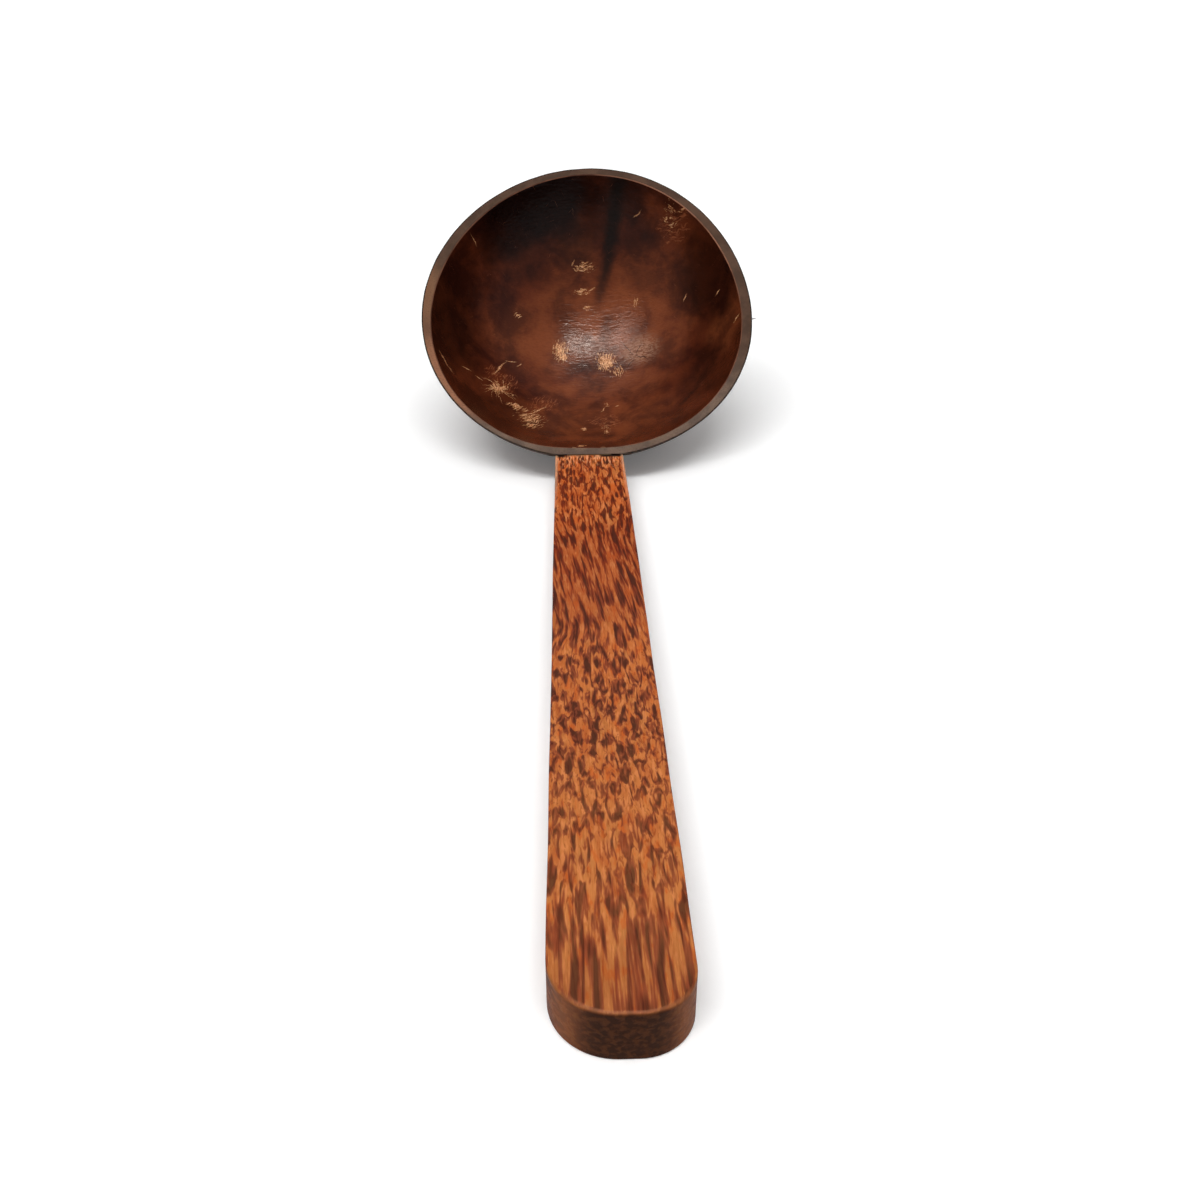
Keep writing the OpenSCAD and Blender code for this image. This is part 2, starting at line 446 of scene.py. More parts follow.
def out_of_round(bearing, waves):
    """How far the shell stands out past its circle, at a bearing in degrees."""
    heights = [mm * MM * math.cos(math.radians(count * (bearing - top))) for count, mm, top in waves]
    return GROWN + sum(heights)


def lip(bearing):
    """How much more wall is left inside at a bearing in degrees."""
    return LIP * math.exp(-(((bearing - LIP_AT) / LIP_HALF) ** 2))


mid_a, mid_c = nut_a - SHELL_WALL / 2, nut_c - SHELL_WALL / 2
inside = {v for v in bm.verts if math.hypot(v.co.xy.length / mid_a, (v.co.z - nut_up) / mid_c) < 1}
most = 0.0
for v in bm.verts:
    push = v.normal * noise.noise(v.co / DENT_SIZE) * (DENT if v in inside else 0.5 * DENT)
    if v.co.z > -SAWN_BAND:
        push = v.normal * noise.noise(v.co / SAW_WAVE_SIZE) * SAW_WAVE
    bearing = math.degrees(math.atan2(v.co.y, v.co.x)) % 360
    if v in inside:
        grown, moved = out_of_round(bearing, HOLLOW_WAVES) - lip(bearing), HOLLOW_MOVED
    else:
        grown, moved = out_of_round(bearing, OUTSIDE_WAVES), OUTSIDE_MOVED
    stretch = 1 + grown / RIM_R
    v.co = Vector((v.co.x * stretch, v.co.y * stretch, v.co.z)) + push + moved
    most = max(most, abs(grown))
print("out of round by up to", round(most / MM, 2), "mm")

# %% [markdown]
# ## A stray fibre
#
# One stiff fibre of the husk still stands out at the right of the rim. It could be a thread of its own, but
# it grows out of the shell, so it is drawn out of one face in three steps, each with its length in mm and
# the share of its width that it keeps.

# %% Draw out the fibre
FIBRE_AT = Vector((48, -4, -1.2)) * MM
FIBRE_LEANS = Vector((1, 0.12, 0.1))
FIBRE_INSET = 0.25 * MM
FIBRE_STEPS = ((0.3, 0.35), (0.8, 0.6), (0.6, 0.35))

outside_faces = [f for f in bm.faces if f.material_index == OUTSIDE]
root = min(outside_faces, key=lambda f: (f.calc_center_median() - FIBRE_AT).length)
bmesh.ops.inset_region(bm, faces=[root], thickness=FIBRE_INSET)
for step, keep in FIBRE_STEPS:
    root = bmesh.ops.extrude_discrete_faces(bm, faces=[root])["faces"][0]
    middle = root.calc_center_median() + FIBRE_LEANS * step * MM
    for v in root.verts:
        v.co = middle + (v.co - root.calc_center_median()) * keep
print("fibre ends at, mm:", [round(v / MM, 1) for v in root.calc_center_median()])

# %% [markdown]
# ## Tilt the bowl and file its seat
#
# Now the whole mesh is turned to the tilt that the bowl has on the handle. A boolean could take the flat
# off its outside, but one plane does it with cleaner edges. Weighted normals keep the sawn rim flat in the
# light, beside the smooth bowl.

# %% Tilt and file
SHARP = math.radians(40)


def cut(bm, at, facing, **clear):
    """Cuts the whole mesh at a plane, and can clear one side of it."""
    geom = bm.verts[:] + bm.edges[:] + bm.faces[:]
    return bmesh.ops.bisect_plane(bm, geom=geom, plane_co=at, plane_no=facing, **clear)


bmesh.ops.transform(bm, matrix=shell_frame, verts=bm.verts)
filed = cut(bm, seat_mid, seat_up, clear_inner=True)
seat_edges = [g for g in filed["geom_cut"] if isinstance(g, bmesh.types.BMEdge)]
bmesh.ops.edgeloop_fill(bm, edges=seat_edges, mat_nr=RIM)
bmesh.ops.recalc_face_normals(bm, faces=bm.faces)
bowl_mesh = bpy.data.meshes.new("coconut_bowl")
bm.to_mesh(bowl_mesh)
bm.free()
bowl_mesh.shade_smooth()
bowl_mesh.set_sharp_from_angle(angle=SHARP)
bowl = bpy.data.objects.new("coconut_bowl", bowl_mesh)
bpy.context.scene.collection.objects.link(bowl)
crisp = bowl.modifiers.new("flat rim", "WEIGHTED_NORMAL")
crisp.keep_sharp = True
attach(bowl, "root")
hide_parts("shell_bowl")
lowest = min(v.co.z for v in bowl_mesh.vertices)
print("bowl:", len(bowl_mesh.polygons), "faces, lowest point, mm:", round(lowest / MM, 3))

# %% [markdown]
# ## The handle's sizes
#
# The handle is a tapering bar, a little thicker at its butt than at its neck. Its place and its butt's
# thickness come from the CAD box. The neck could have a thickness of its own, but its top has to end just
# under the rim, so that one is worked out from the seat.

# %% Sizes of the bar
HANDLE_TOP = 189 * MM
BUTT_W = 23.5 * MM
NECK_W = 18.4 * MM
RIM_STEP = 0.3 * MM

handle_low, handle_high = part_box("handle")
butt_y = handle_low.y
neck_y = butt_y + HANDLE_TOP
toe_y = handle_high.y
butt_t = handle_high.z
rim_dir = shell_frame.to_3x3() @ Vector((0, 1, 0))
rim_mid = shell_frame.translation
edge_at = rim_mid + rim_dir * ((seat_mid - rim_mid).dot(seat_up) / rim_dir.dot(seat_up))
neck_t = edge_at.z - RIM_STEP


def along(y, at_butt, at_neck):
    """A size of the bar that changes evenly from the butt to the neck."""
    return at_butt + (at_neck - at_butt) * (y - butt_y) / HANDLE_TOP


print("handle: butt", round(butt_t / MM, 2), "mm thick, neck", round(neck_t / MM, 2), "mm thick")

# %% [markdown]
# ## Saw the bar
#
# The bar was sawn out flat and its butt was rounded on a belt, more on the left than on the right. A cube
# with rounded edges could stand in for it, but the outline is what the eye follows. So the outline is drawn
# flat, its butt's corners are rounded, and it is raised to its thickness. Cuts across the bar give the
# sanding something to move, and the end is planed to the slope of the filed seat, less the glue.

# %% Saw the bar
BUTT_CORNERS = {-1: 11.2 * MM, 1: 9.2 * MM}
CORNER_STEPS = 16
CORNER_NEAR = 0.01 * MM
FIRST_CUT = 12 * MM
STATIONS = 40
GLUE_T = 0.3 * MM

bm = bmesh.new()
bmesh.ops.create_grid(bm, x_segments=1, y_segments=1, size=0.5)
for v in bm.verts:
    y = toe_y if v.co.y > 0 else butt_y
    v.co = Vector((math.copysign(along(y, BUTT_W, NECK_W) / 2, v.co.x), y, 0))
for side, radius in BUTT_CORNERS.items():
    corner_at = Vector((side * BUTT_W / 2, butt_y, 0))
    corner = [v for v in bm.verts if (v.co - corner_at).length < CORNER_NEAR]
    bmesh.ops.bevel(
        bm, geom=corner, offset=radius, segments=CORNER_STEPS, profile=0.5, affect="VERTICES", material=-1
    )
raised = bmesh.ops.extrude_face_region(bm, geom=bm.faces[:])
for v in raised["geom"]:
    if isinstance(v, bmesh.types.BMVert):
        v.co.z = along(v.co.y, butt_t, neck_t)
for i in range(1, STATIONS):
    y = butt_y + FIRST_CUT + (toe_y - butt_y - FIRST_CUT) * i / STATIONS
    cut(bm, (0, y, 0), (0, 1, 0))
bmesh.ops.recalc_face_normals(bm, faces=bm.faces)
cut(bm, seat_mid - GLUE_T * seat_up, seat_up, clear_outer=True)
bmesh.ops.edgeloop_fill(bm, edges=[e for e in bm.edges if e.is_boundary])
bmesh.ops.recalc_face_normals(bm, faces=bm.faces)
print("bar:", len(bm.faces), "faces before its edges are rounded")

# %% [markdown]
# ## Break the bar's edges
#
# All edges were broken with sandpaper: lightly along the sides, more round the butt, and most at its two
# corners. A bevel could be cut into the mesh, but one with a varying width is easier as a modifier, with a
# weight on each edge that says how much of the full width it gets. Sanding by hand also leaves the bar a
# little uneven.

# %% Break its edges
BUTT_EDGE = 2.9 * MM
END_EDGE = 1.7 * MM
SIDE_EDGE = 0.8 * MM
BUTT_FADES = 10 * MM
EDGE_STEPS = 5
SANDED = 0.12 * MM
SANDED_SIZE = 22 * MM
SANDED_FROM_BUTT = 14 * MM
SANDED_TO_NECK = 20 * MM
LIES_FLAT = 0.9
ON_SEAT = 0.99

weight = bm.edges.layers.float.new("bevel_weight_edge")
for e in bm.edges:
    flat = [abs(f.normal.z) > LIES_FLAT for f in e.link_faces]
    if sorted(flat) == [False, True] and all(f.normal.dot(seat_up) < ON_SEAT for f in e.link_faces):
        middle = (e.verts[0].co + e.verts[1].co) / 2
        on_top = middle.z > butt_t / 2
        near_butt = max(0.0, 1 - (middle.y - butt_y) / BUTT_FADES) if on_top else 0.0
        at_corner = 1 - abs(2 * near_butt - 1) if on_top else 0.0
        round_off = SIDE_EDGE + (END_EDGE - SIDE_EDGE) * near_butt + (BUTT_EDGE - END_EDGE) * at_corner
        e[weight] = round_off / BUTT_EDGE
for v in bm.verts:
    if butt_y + SANDED_FROM_BUTT < v.co.y < neck_y - SANDED_TO_NECK:
        v.co.x += SANDED * noise.noise(Vector((v.co.x, v.co.y, 0)) / SANDED_SIZE)
        if v.co.z > butt_t / 2:
            v.co.z += 0.5 * SANDED * noise.noise(v.co / SANDED_SIZE)
handle_mesh = bpy.data.meshes.new("palm_handle")
bm.to_mesh(handle_mesh)
bm.free()
handle_mesh.shade_smooth()
handle = bpy.data.objects.new("palm_handle", handle_mesh)
bpy.context.scene.collection.objects.link(handle)
rounding = handle.modifiers.new("broken edges", "BEVEL")
rounding.limit_method = "WEIGHT"
rounding.width = BUTT_EDGE
rounding.segments = EDGE_STEPS
rounding.harden_normals = True
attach(handle, "root")
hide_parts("handle")
print("handle:", len(handle_mesh.polygons), "faces, edges rounded by up to", round(BUTT_EDGE / MM, 1), "mm")

# %% [markdown]
# ## Palm wood: how the bundles run
#
# Palm wood has no rings. It is a pale orange ground full of dark fibre bundles that run up the trunk. The
# bar was sawn a little askew to them, so each bundle shows as a fleck on the top: short where it dives
# steeply, a long streak where it runs almost level. A stretched noise would give flecks of one length
# everywhere. So a curve says how far the bundles have run at each place along the handle, and the noise is
# read there. Places are in mm along the spoon: the butt is at -133, the neck at 56.

# %% Where the bundles run
FLECK_AT_NECK = 0.95
FLECK_AT_BUTT = 1.25
FLECK_DEEP = 1.0
STREAK_THIN = 0.82
RUN = ((0.0, 0.0), (0.11, 1.7), (0.48, 17.5), (0.72, 22.9), (1.0, 34.5))
SLANT_FROM, SLANT_TO, SLANT = 22, -46, -5
ASKEW = 0.03

net = Net("palm wood")
place = net.frame(scale=(MM, MM, MM))
x, y, z = net.split(place)


def stretch_of(start, full, fades, end):
    """1 along one stretch of the handle, and 0 before its start and past its end."""
    return net.math("MULTIPLY", net.soft(y, start, full), net.soft(y, end, fades))


share = net.even(y, butt_y / MM, toe_y / MM)
curve = net.tree.nodes.new("ShaderNodeFloatCurve")
net.put(curve.inputs["Value"], share)
line = curve.mapping.curves[0]
for at, run in RUN[1:-1]:
    line.points.new(at, run / RUN[-1][1])
curve.mapping.update()
run = net.math("MULTIPLY", curve.outputs[0], RUN[-1][1])
slant = net.soft(y, SLANT_FROM, SLANT_TO, 0, SLANT)
slant = net.math("MULTIPLY_ADD", y, ASKEW, slant)
streaky = stretch_of(26, 6, -28, -44)
width = net.even(share, 0, 1, FLECK_AT_BUTT, FLECK_AT_NECK)
width = net.math("MULTIPLY", width, net.even(streaky, 0, 1, 1.0, STREAK_THIN))
across = net.math("DIVIDE", net.math("ADD", x, slant), width)
deep = net.math("DIVIDE", z, FLECK_DEEP)
bundle_place = net.node("CombineXYZ", {0: across, 1: run, 2: deep})
print("flecks along the handle: about", round(RUN[-1][1]))

# %% [markdown]
# ## Palm wood: bundles and threads
#
# The bundles are the high places of a noise. Distortion bends them into hooks where they dive, and less of
# it leaves them straight where they streak. Single fibres roughen their edges, and a finer noise gives thin
# threads between them. A painted picture could place each fleck, but a noise also covers the sides and the
# underside.

# %% Bundles and threads
HOOKED, STRAIGHT = 0.85, 0.35
FIBRE_ROUGHENS = 0.12

hooked = net.even(net.math("MAXIMUM", streaky, net.soft(y, -102, -116)), 0, 1, HOOKED, STRAIGHT)
fibres = net.noise(net.frame(scale=(0.35, 5.0, 0.5), vector=place), 1.0, detail=4.0, roughness=0.6)
bundles = net.noise(bundle_place, 1.0, detail=2.0, roughness=0.5, distortion=hooked)
bundles = net.math("MULTIPLY_ADD", net.math("SUBTRACT", fibres, 0.5), FIBRE_ROUGHENS, bundles)
cover = net.math("ADD", net.soft(y, 12, 34, 0.045, 0.035), net.soft(y, -78, -92, 0, -0.02))
cover = net.math("ADD", cover, net.soft(y, -112, -124, 0, 0.045))
bundles = net.math("ADD", bundles, cover)
thread_place = net.frame(at=(7, 3, 5), scale=(0.5, 0.5, 0.5), vector=bundle_place)
threads = net.noise(thread_place, 1.0, distortion=hooked)
print("palm wood so far:", len(net.tree.nodes), "nodes")

# %% [markdown]
# ## Palm wood: the ground
#
# Between the bundles lies soft tissue, redder towards the neck, with patches that are paler, browner or
# stained by oil. One colour with a little noise would look like plastic. Each layer here changes a share of
# the one below it: large patches, small patches, the stain, then the single fibres.

# %% Ground
ground = net.mix(share, tint(192, 119, 63), tint(190, 92, 40))
patches = net.noise(net.frame(scale=(3.5, 14, 3.5), vector=place), 1.0)
ground = net.mix(net.soft(patches, 0.5, 0.68, 0, 0.7), ground, tint(166, 78, 36))
ground = net.mix(net.soft(patches, 0.46, 0.32, 0, 0.6), ground, tint(172, 108, 58))
small = net.noise(net.frame(at=(9, 4, 2), scale=(1.3, 4.5, 1.3), vector=place), 1.0, detail=2.0)
ground = net.mix(net.soft(small, 0.52, 0.66, 0, 0.7), ground, tint(208, 129, 74))
ground = net.mix(net.soft(small, 0.46, 0.34, 0, 0.55), ground, tint(192, 84, 26))
ground = net.mix(net.math("MULTIPLY", stretch_of(24, 8, -22, -40), 0.4), ground, tint(138, 60, 32))
ground = net.mix(net.soft(y, -114, -130, 0, 0.4), ground, tint(124, 60, 28))
ground = net.mix(net.soft(fibres, 0.5, 0.72, 0, 0.5), ground, tint(146, 66, 28))
ground = net.mix(net.soft(fibres, 0.46, 0.28, 0, 0.6), ground, tint(213, 135, 73))
print("palm wood so far:", len(net.tree.nodes), "nodes")

# %% [markdown]
# ## Palm wood: the flecks
#
# A bundle is darkest in its middle and reddish at its edge, and the flecks get greyer towards the butt. One
# dark colour would look printed on, so edge and core have a colour each, and both change along the handle.

# %% Flecks
fleck = net.soft(bundles, 0.49, 0.58)
lower = net.soft(y, 20, -50)
edge_dark = net.mix(lower, tint(112, 34, 12), tint(130, 60, 38))
core_dark = net.mix(lower, tint(50, 12, 8), tint(50, 22, 18))
dark = net.mix(net.soft(bundles, 0.55, 0.7), edge_dark, core_dark)
wood = net.mix(net.soft(threads, 0.52, 0.68, 0, 0.65), ground, tint(128, 52, 22))
wood = net.mix(net.math("MULTIPLY", fleck, net.soft(y, -60, -90, 0.92, 0.82)), wood, dark)
print("palm wood so far:", len(net.tree.nodes), "nodes")

# %% [markdown]
# ## Palm wood: neck, painted edge highlight and shade, and end grain
#
# Beside the shell the top was scraped to pale and dark hairs, and shade under the rim is painted as a dark
# line at both sides. Towards the neck the edges get a painted highlight, where their rounding catches the
# light. The sides get painted shade, as upright faces get less light from overhead. The butt shows the
# bundles' ends as dots, on end grain that is dark of itself and darkened further by painted shade. These
# could be materials of their own, but they fade into the top, so the place and the way that the surface
# faces choose between them.

# %% Neck, edges and end grain
neck = neck_y / MM
hairs = net.noise(net.frame(scale=(0.45, 3.5, 0.6), vector=place), 1.0, detail=2.0)
by_joint = net.soft(y, neck - 10, neck - 2)
pale_hairs = net.math("MULTIPLY", by_joint, net.soft(hairs, 0.5, 0.64, 0, 0.75))
wood = net.mix(pale_hairs, wood, tint(232, 164, 116))
dark_hairs = net.math("MULTIPLY", by_joint, net.soft(hairs, 0.46, 0.36, 0, 0.8))
wood = net.mix(dark_hairs, wood, tint(48, 18, 8))
# Painted shade: a dark line on the wood where the rim shades it, at both sides of the neck.
shade_under_rim = net.math("MAXIMUM", net.soft(x, 2.2, 3.6), net.soft(x, -5.8, -7.0))
shade_under_rim = net.math("MULTIPLY", shade_under_rim, net.soft(y, neck - 1.7, neck - 0.8))
wood = net.mix(shade_under_rim, wood, tint(24, 11, 7))
_, facing_y, facing_z = net.split(net.node("NewGeometry", {}, out="Normal"))
half = net.even(y, butt_y / MM, neck, 0.5 * BUTT_W / MM, 0.5 * NECK_W / MM)
margin = net.math("SUBTRACT", half, net.math("ABSOLUTE", x))
# Painted highlight: the rounded edges towards the neck are made pale where they catch the light.
edge_highlight = net.math("MULTIPLY", net.soft(margin, 1.0, 0.2, 0, 0.65), net.soft(y, 18, 50))
edge_highlight = net.math("MULTIPLY", edge_highlight, net.soft(facing_z, 0.15, 0.5))
wood = net.mix(edge_highlight, wood, tint(228, 170, 130))
# The end grain is dark of itself, and darker still as painted shade, since the butt's end faces away from
# the light overhead.
end = net.mix(net.soft(bundles, 0.42, 0.66), tint(72, 40, 22), tint(44, 24, 15))
# Painted shade: faces that don't face up are darkened, as upright sides get less light from overhead.
wood = net.mix(net.soft(facing_z, 0.7, 0.1, 0, 0.45), wood, tint(60, 24, 14))
wood = net.mix(net.soft(facing_y, -0.2, -0.55, 0, 0.6), wood, tint(150, 92, 58))
wood = net.mix(net.soft(facing_y, -0.65, -0.97, 0, 0.94), wood, end)
handle_mesh.materials.append(
    net.finish(
        Base_Color=wood,
        Roughness=net.soft(fibres, 0.3, 0.7, 0.42, 0.56),
        Specular_IOR_Level=0.04,
        Normal=net.bump(net.math("MULTIPLY_ADD", fleck, -0.5, fibres), 0.04 * MM, 0.6),
    )
)
print("palm wood:", len(net.tree.nodes), "nodes")

# %% [markdown]
# ## Coconut shell, inside: places
#
# The marks in the bowl are in the places that the photo shows. They could be painted on an unwrapped mesh,
# but a script can say it in words: each mark is an oval zone, with its middle, half its length and width,
# and its turn in degrees. Places are in mm from the middle of the rim: across to the right, and towards the
# far side. A noise pushes the places about, so that no zone has a clean edge.

# %% Places on the shell
ZONE_REACH = 1.5


def shell_place(net):
    """A place on the shell in mm, seen from the rim's frame."""
    return net.frame(at=(OUTSIDE_MOVED.x, rim_y, rim_z), turn=(RIM_TILT, 0, 0), scale=(MM, MM, MM))


def zone(net, flat, at, size, turn):
    """Distance from the middle of an oval zone: 1 at its edge, and never more than ZONE_REACH."""
    size = [ZONE_REACH * v for v in size] + [ZONE_REACH]
    seen = net.frame(at=(*at, 0), turn=(0, 0, math.radians(turn)), scale=size, vector=flat)
    near = net.node("TexGradient", {"Vector": seen}, out="Fac", gradient_type="SPHERICAL")
    return net.math("MULTIPLY_ADD", near, -ZONE_REACH, ZONE_REACH)


def flattened(net, place, warp_size, warp):
    """The place without its height, pushed about by a noise so that zones get ragged edges."""
    push = net.noise(place, 1 / warp_size, detail=4.0, out="Color")
    push = net.vector("SUBTRACT", push, (0.5, 0.5, 0.5))
    moved = net.vector("MULTIPLY_ADD", push, (warp, warp, warp), place)
    return net.vector("MULTIPLY", moved, (1, 1, 0))


net = Net("shell inside")
place = shell_place(net)
cloudy = flattened(net, place, 9, 14)
ragged = flattened(net, place, 1.4, 1.4)
wavy = flattened(net, place, 3, 2.2)
curly = flattened(net, place, 3.5, 5)
print("shell inside so far:", len(net.tree.nodes), "nodes")

# %% [markdown]
# ## Coconut shell, inside: brown, rust and black
#
# The scraped and oiled shell is mottled from near black to rust. Noise alone would mottle it anywhere, so
# the noise gives the texture, and the zones say where it turns rust or dark, each with the most that it may
# get. Along the steep walls under the rim, the dark zones are partly painted shade.

# %% Brown, rust and black
RUST_ZONES = (
    ((27, 32), (13, 7), -45, 0.3),
    ((42, -1), (6, 8), 0, 0.9),
    ((-2, 33), (6, 6), 0, 0.5),
    ((8, 15), (24, 16), 0, 1.0),
    ((17, 22), (9, 8), 0, 0.65),
    ((-4, -8), (11, 4), 0, 0.8),
    ((-8, 21), (6, 5), 0, 0.5),
    ((4, 20), (8, 6), 0, 0.6),
    ((-16, 6), (15, 11), 0, 1.0),
    ((2, -22), (24, 13), 0, 0.7),
    ((15, -7), (10, 6), 0, 0.8),
    ((24, 4), (9, 7), 0, 0.8),
)
DARK_ZONES = (
    ((-20, 41), (32, 14), 8, 0.95),
    ((-42, 2), (11, 22), 0, 0.55),
    ((36, 15), (10, 16), 25, 0.7),
    ((-26, 29), (9, 6), 0, 0.45),
    ((17, 33), (5, 5), 0, 0.35),
    ((36, -12), (9, 14), -20, 0.45),
    ((-27, -25), (13, 9), 40, 0.4),
    ((-2, -1.5), (4.5, 2.2), 0, 0.45),
    ((14, 42), (7, 5), 0, 0.6),
)

mottle = net.noise(place, 0.1, detail=6.0, roughness=0.6, distortion=0.3)
colour = net.mix(net.soft(mottle, 0.34, 0.66), tint(54, 20, 10), tint(88, 38, 19))
for at, size, turn, most in RUST_ZONES:
    share = net.soft(mottle, 0.36, 0.62, 0.3 * most, 0.85 * most)
    share = net.math("MULTIPLY", net.soft(zone(net, cloudy, at, size, turn), 1.3, 0.3), share)
    colour = net.mix(share, colour, tint(128, 66, 36))
# Painted shade: along the steep walls under the rim the dark zones are partly the shell's own near black and
# partly shade, where little light from overhead reaches.
for at, size, turn, most in DARK_ZONES:
    share = net.soft(zone(net, cloudy, at, size, turn), 1.3, 0.4, 0, most)
    colour = net.mix(share, colour, tint(11, 4, 3))
print("shell inside:", len(RUST_ZONES), "rust zones and", len(DARK_ZONES), "dark ones")

# %% [markdown]
# ## Coconut shell, inside: the dark vein
#
# A dark vein runs down from the far rim along one of the ridges. It bends once, and it is wide at the rim
# and thin at its end. A thin zone could stand in for it, but a zone is straight. So the vein is a line of
# two slopes, and a place is dark by how near it is to that line.

# %% Vein
VEIN_BEND = (7.0, 30)
VEIN_LEAN = (0.2, 0.33)
VEIN_TOP, VEIN_END, VEIN_FADES = 44, 14, 16
VEIN_HALF = (0.8, 2.1)

right, far, _ = net.split(place)
past = net.math("SUBTRACT", far, VEIN_BEND[1])
lean = net.math("MINIMUM", *(net.math("MULTIPLY", past, slope) for slope in VEIN_LEAN))
off = net.math("SUBTRACT", net.math("SUBTRACT", right, VEIN_BEND[0]), lean)
off = net.math("DIVIDE", net.math("ABSOLUTE", off), net.even(far, VEIN_END, VEIN_TOP, *VEIN_HALF))
off = net.math("MULTIPLY_ADD", net.math("SUBTRACT", mottle, 0.5), 1.0, off)
fades = net.soft(far, VEIN_END, VEIN_END + VEIN_FADES, 0, 0.88)
colour = net.mix(net.math("MULTIPLY", net.soft(off, 2.3, 0.1), fades), colour, tint(13, 8, 6))
print("vein:", VEIN_TOP - VEIN_END, "mm long")

# %% [markdown]
# ## Coconut shell, inside: the scuff, its painted sheen and its cracks
#
# Right of the shine lies a pale patch with a few fine cracks. It is partly a dry scuff and partly a painted
# highlight, where the shine spreads to the right. Cracks could be cut into the mesh, but they are thinner
# than its faces, so they are thin dark zones. The fine grain left by scraping shows through the pale patch.

# %% Scuff, painted sheen and cracks
SCUFF_AND_SHEEN = ((16.5, 3.5), (6.5, 5.5), 0)
CRACKS = (
    ((16, 4), 2.6, 72),
    ((12.5, 5), 4.0, 128),
    ((17, 1), 3.0, -33),
    ((13.5, 0), 2.2, 40),
)
CRACK_THIN = 0.2

fine = net.noise(net.frame(scale=(3.5, 0.42, 0.42), vector=place), 1.0, detail=3.0, roughness=0.6)
colour = net.mix(net.soft(fine, 0.4, 0.7, 0, 0.2), colour, tint(42, 18, 10))
# Painted highlight: the pale patch is partly the shine painted on, and partly a dry scuff.
scuff_and_sheen = net.soft(zone(net, ragged, *SCUFF_AND_SHEEN), 1.2, 0.2, 0, 0.75)
scuff_and_sheen = net.math("MULTIPLY", scuff_and_sheen, net.soft(fine, 0.4, 0.6, 0.25, 1))
colour = net.mix(scuff_and_sheen, colour, tint(168, 122, 96))
for at, long, turn in CRACKS:
    crack = net.soft(zone(net, wavy, at, (long, CRACK_THIN), turn), 1.2, 0.2, 0, 0.85)
    colour = net.mix(crack, colour, tint(24, 10, 7))
print("scuff:", len(CRACKS), "cracks")

# %% [markdown]
# ## Coconut shell, inside: tufts of skin
#
# The last of the white flesh's skin is left as pale tufts of short fibres that lie one way. Hairs could be
# grown there, but these are pressed flat and polished over. So each tuft is a zone filled with wisps, a
# noise that is drawn out along one direction. A tuft ends with the direction of its wisps and how full it
# is.

# %% Tufts
TUFTS = (
    ((-8, 5), (2.8, 4.0), 75, 1.0),
    ((-7, 3.2), (1.6, 1.8), 75, 1.3),
    ((6, 1.5), (3.6, 4.2), 90, 1.0),
    ((6.5, 0.8), (2.0, 2.4), 90, 1.3),
    ((9.5, -2.5), (2.4, 2.6), 90, 0.5),
    ((-21.5, -18.5), (3.2, 1.6), 45, 0.9),
    ((-17, -23), (4.6, 5.0), 45, 0.55),
    ((-17, -26), (1.8, 2.0), 45, 0.9),
    ((-0.5, 29.5), (4.0, 1.4), 0, 0.6),
    ((-1, 23), (2.6, 1.1), 0, 0.7),
    ((0.5, 19), (1.4, 1.0), 0, 0.8),
    ((26, 36), (3.2, 2.2), 135, 0.4),
    ((26, 33), (1.6, 1.2), 0, 0.35),
    ((29.5, 34.5), (1.6, 0.5), 135, 0.6),
    ((15.5, 18.5), (0.8, 1.6), 90, 0.6),
    ((-1.4, -26), (1.0, 1.0), 0, 1.5),
    ((5, -26.5), (1.2, 3.4), 90, 0.4),
    ((-2.5, -37), (1.5, 1.2), 0, 0.8),
    ((-21, 14), (1.2, 1.2), 45, 0.7),
)


def wisps(turn, long=1.7, thin=0.34):
    """Short marks that lie along one direction."""
    seen = net.frame(turn=(0, 0, math.radians(turn)), scale=(long, thin, 1), vector=wavy)
    return net.noise(seen, 1.0, detail=2.0)


WISPS = {turn: wisps(turn) for turn in (0, 75, 90, 135)}
WISPS[45] = wisps(45, 2.8, 0.32)
tufts = 0.0
for at, size, turn, fill in TUFTS:
    off = zone(net, ragged, at, size, 0)
    share = net.math("MULTIPLY_ADD", net.soft(off, 1.2, 0.0), fill * 0.3, WISPS[turn])
    share = net.math("MULTIPLY", net.soft(share, 0.6, 0.72), net.soft(off, 1.25, 0.8))
    tufts = net.math("MAXIMUM", tufts, share)
print("shell inside:", len(TUFTS), "tufts")

# %% [markdown]
# ## Coconut shell, inside: stars and strokes
#
# Some fibres spread from one point like a star, and some lie alone. A star could be a bundle of strokes,
# but its rays are many and of no even length, so it is a noise read by direction only, with a bright core.
# Single fibres are zones less than half a millimetre wide.

# %% Stars and strokes
STARS = (
    ((-26.3, -13.3), 5.6, 6.0),
    ((5.5, -15.5), 0.9, 4.0),
)
STROKES = (
    ((-3.5, 30), 1.1, 70),
    ((-1, 28.7), 1.9, -5),
    ((1.7, 29.5), 1.5, 15),
    ((0.2, 30.6), 1.2, 30),
    ((-1, 23.6), 2.0, 20),
    ((2, 23.8), 1.3, 25),
    ((-26.2, -5.5), 3.8, 58),
    ((-23, -1.6), 1.8, 18),
    ((-20.5, -2), 1.0, 45),
    ((-32, -12), 1.3, -20),
    ((-35.5, -11), 1.4, 5),
    ((-15.5, -19), 4.2, 45),
    ((-18, -21), 2.8, 30),
    ((-40.5, -13.8), 3.4, -55),
    ((-32.8, 26.3), 1.0, -40),
    ((38.3, 9.7), 0.8, 20),
    ((29.7, 14.5), 1.1, 70),
    ((42.5, -2.3), 0.9, 45),
    ((16, 38.7), 1.4, 20),
    ((8.5, -16), 0.6, 20),
    ((4.5, -17), 1.4, 55),
)
STROKE_THIN = 0.2

